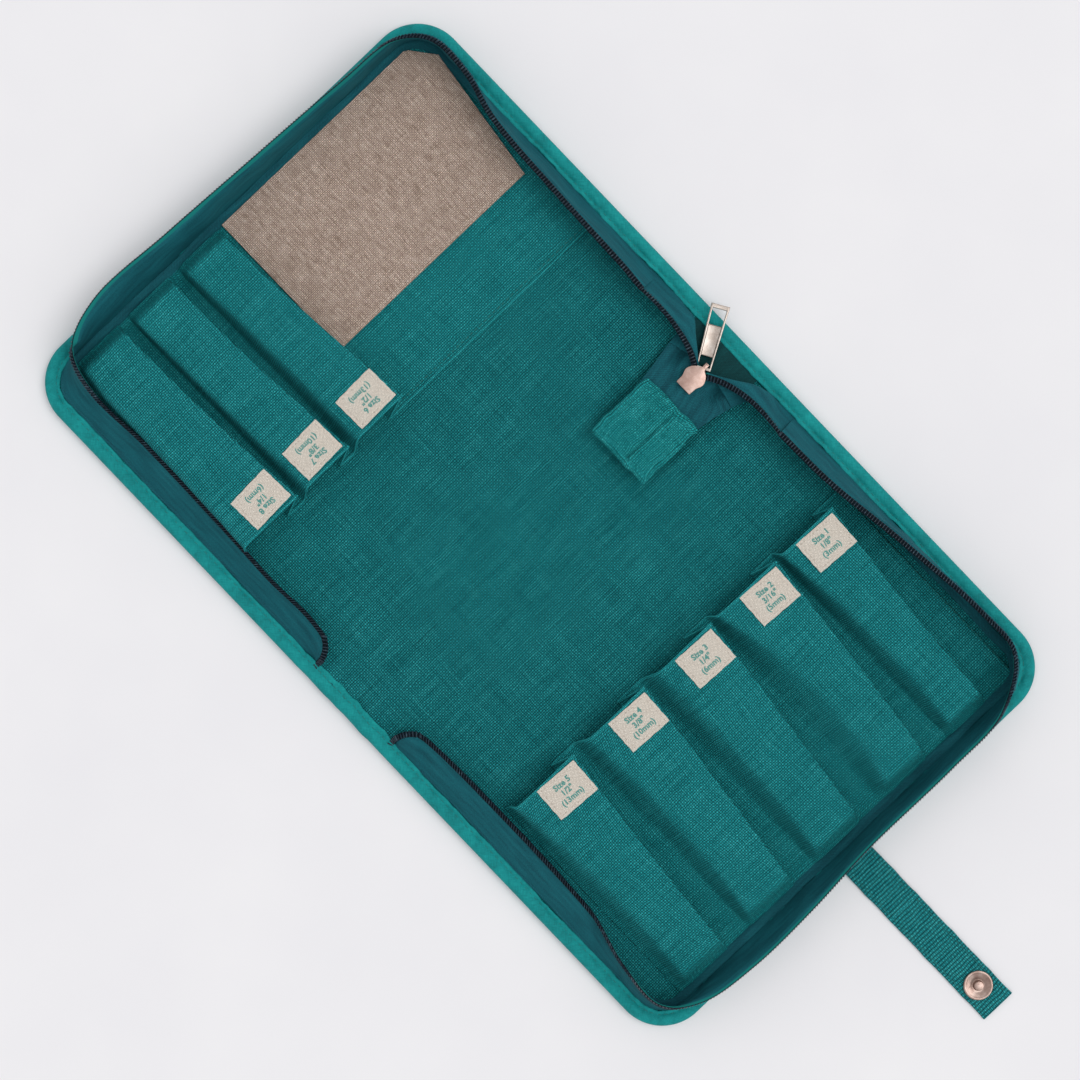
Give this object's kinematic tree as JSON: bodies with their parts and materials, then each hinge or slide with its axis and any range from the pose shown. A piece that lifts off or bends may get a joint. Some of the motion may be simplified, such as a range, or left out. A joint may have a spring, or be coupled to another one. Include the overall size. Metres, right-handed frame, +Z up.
{
  "type": "zip-around needle case",
  "caption": "Zip-around fabric case for hooked needles, lying open: padded covers on a soft spine, pleated labelled needle tubes, flat pockets, standing zip walls, strap with snap.",
  "frame": {"origin": "centre of the spine's underside, on the table, with the case lying open", "axes": "+X from the front cover to the back cover and its strap, +Y along the spine towards the zip slider, +Z up"},
  "size_m": [0.4724, 0.2333, 0.0229],
  "materials": {
    "outer_canvas": "teal cotton-linen canvas",
    "lining_canvas": "teal slubby cotton-linen canvas",
    "binding_cotton": "bright teal cotton bias binding",
    "zip_tape": "dark petrol polyester zip tape",
    "zip_coil": "near-black nylon coil",
    "natural_linen": "natural undyed linen",
    "label_cotton": "cream cotton label",
    "stiffener": "foam and board",
    "nickel": "nickel plate"
  },
  "bodies": {
    "back_cover": {"outer_back_panel": "outer_canvas", "back_stiffener": "stiffener", "back_lining": "lining_canvas", "back_binding": "binding_cotton", "back_zip_tape": "zip_tape", "back_zip_coil": "zip_coil", "back_seam_facing": "zip_tape", "needle_pocket_1": "lining_canvas", "needle_pocket_2": "lining_canvas", "needle_pocket_3": "lining_canvas", "needle_pocket_4": "lining_canvas", "needle_pocket_5": "lining_canvas", "size_label_1": "label_cotton", "size_label_2": "label_cotton", "size_label_3": "label_cotton", "size_label_4": "label_cotton", "size_label_5": "label_cotton", "strap_root": "outer_canvas"},
    "spine": {"outer_spine_panel": "outer_canvas", "spine_stiffener": "stiffener", "spine_lining": "lining_canvas", "spine_binding_slider_end": "binding_cotton", "spine_binding_tucked_end": "binding_cotton", "zip_tail_tape_left": "zip_tape", "zip_tail_tape_right": "zip_tape", "zip_tail_coil_left": "zip_coil", "zip_tail_coil_right": "zip_coil", "zip_end_tab": "outer_canvas"},
    "front_cover": {"outer_front_panel": "outer_canvas", "front_stiffener": "stiffener", "front_lining": "lining_canvas", "front_binding": "binding_cotton", "front_zip_tape": "zip_tape", "front_zip_coil": "zip_coil", "front_seam_facing": "zip_tape", "slip_pocket": "lining_canvas", "linen_pocket": "natural_linen", "needle_pocket_6": "lining_canvas", "needle_pocket_7": "lining_canvas", "needle_pocket_8": "lining_canvas", "size_label_6": "label_cotton", "size_label_7": "label_cotton", "size_label_8": "label_cotton", "snap_socket": "nickel", "snap_socket_post": "nickel"},
    "slider": {"zip_slider": "nickel"},
    "pull": {"zip_pull": "nickel"},
    "strap_riser": {"strap_riser": "outer_canvas"},
    "strap_tip": {"strap_tip": "outer_canvas", "snap_stud": "nickel", "snap_stud_cap": "nickel"}
  },
  "joints": [
    {"name": "spine_fold", "type": "hinge", "parent": "back_cover", "child": "spine", "pos_m": [0.021, 0, 0.0022], "axis": [0, 1, 0], "range_deg": [0, 90]},
    {"name": "cover_fold", "type": "hinge", "parent": "spine", "child": "front_cover", "pos_m": [-0.021, 0, 0.0022], "axis": [0, 1, 0], "range_deg": [0, 90]},
    {"name": "slider_run", "type": "slide", "parent": "spine", "child": "slider", "axis": [0, -1, 0], "range_m": [0, 0.006]},
    {"name": "pull_lift", "type": "hinge", "parent": "slider", "child": "pull", "pos_m": [0, 0.0937, 0.0081], "axis": [0.859, 0.512, 0], "range_deg": [0, 26]},
    {"name": "strap_fold", "type": "hinge", "parent": "back_cover", "child": "strap_riser", "pos_m": [0.197, 0, 0.0008], "axis": [0, -1, 0], "range_deg": [0, 90]},
    {"name": "strap_tip_fold", "type": "hinge", "parent": "strap_riser", "child": "strap_tip", "pos_m": [0.2445, 0, 0.0008], "axis": [0, -1, 0], "range_deg": [0, 90]}
  ]
}
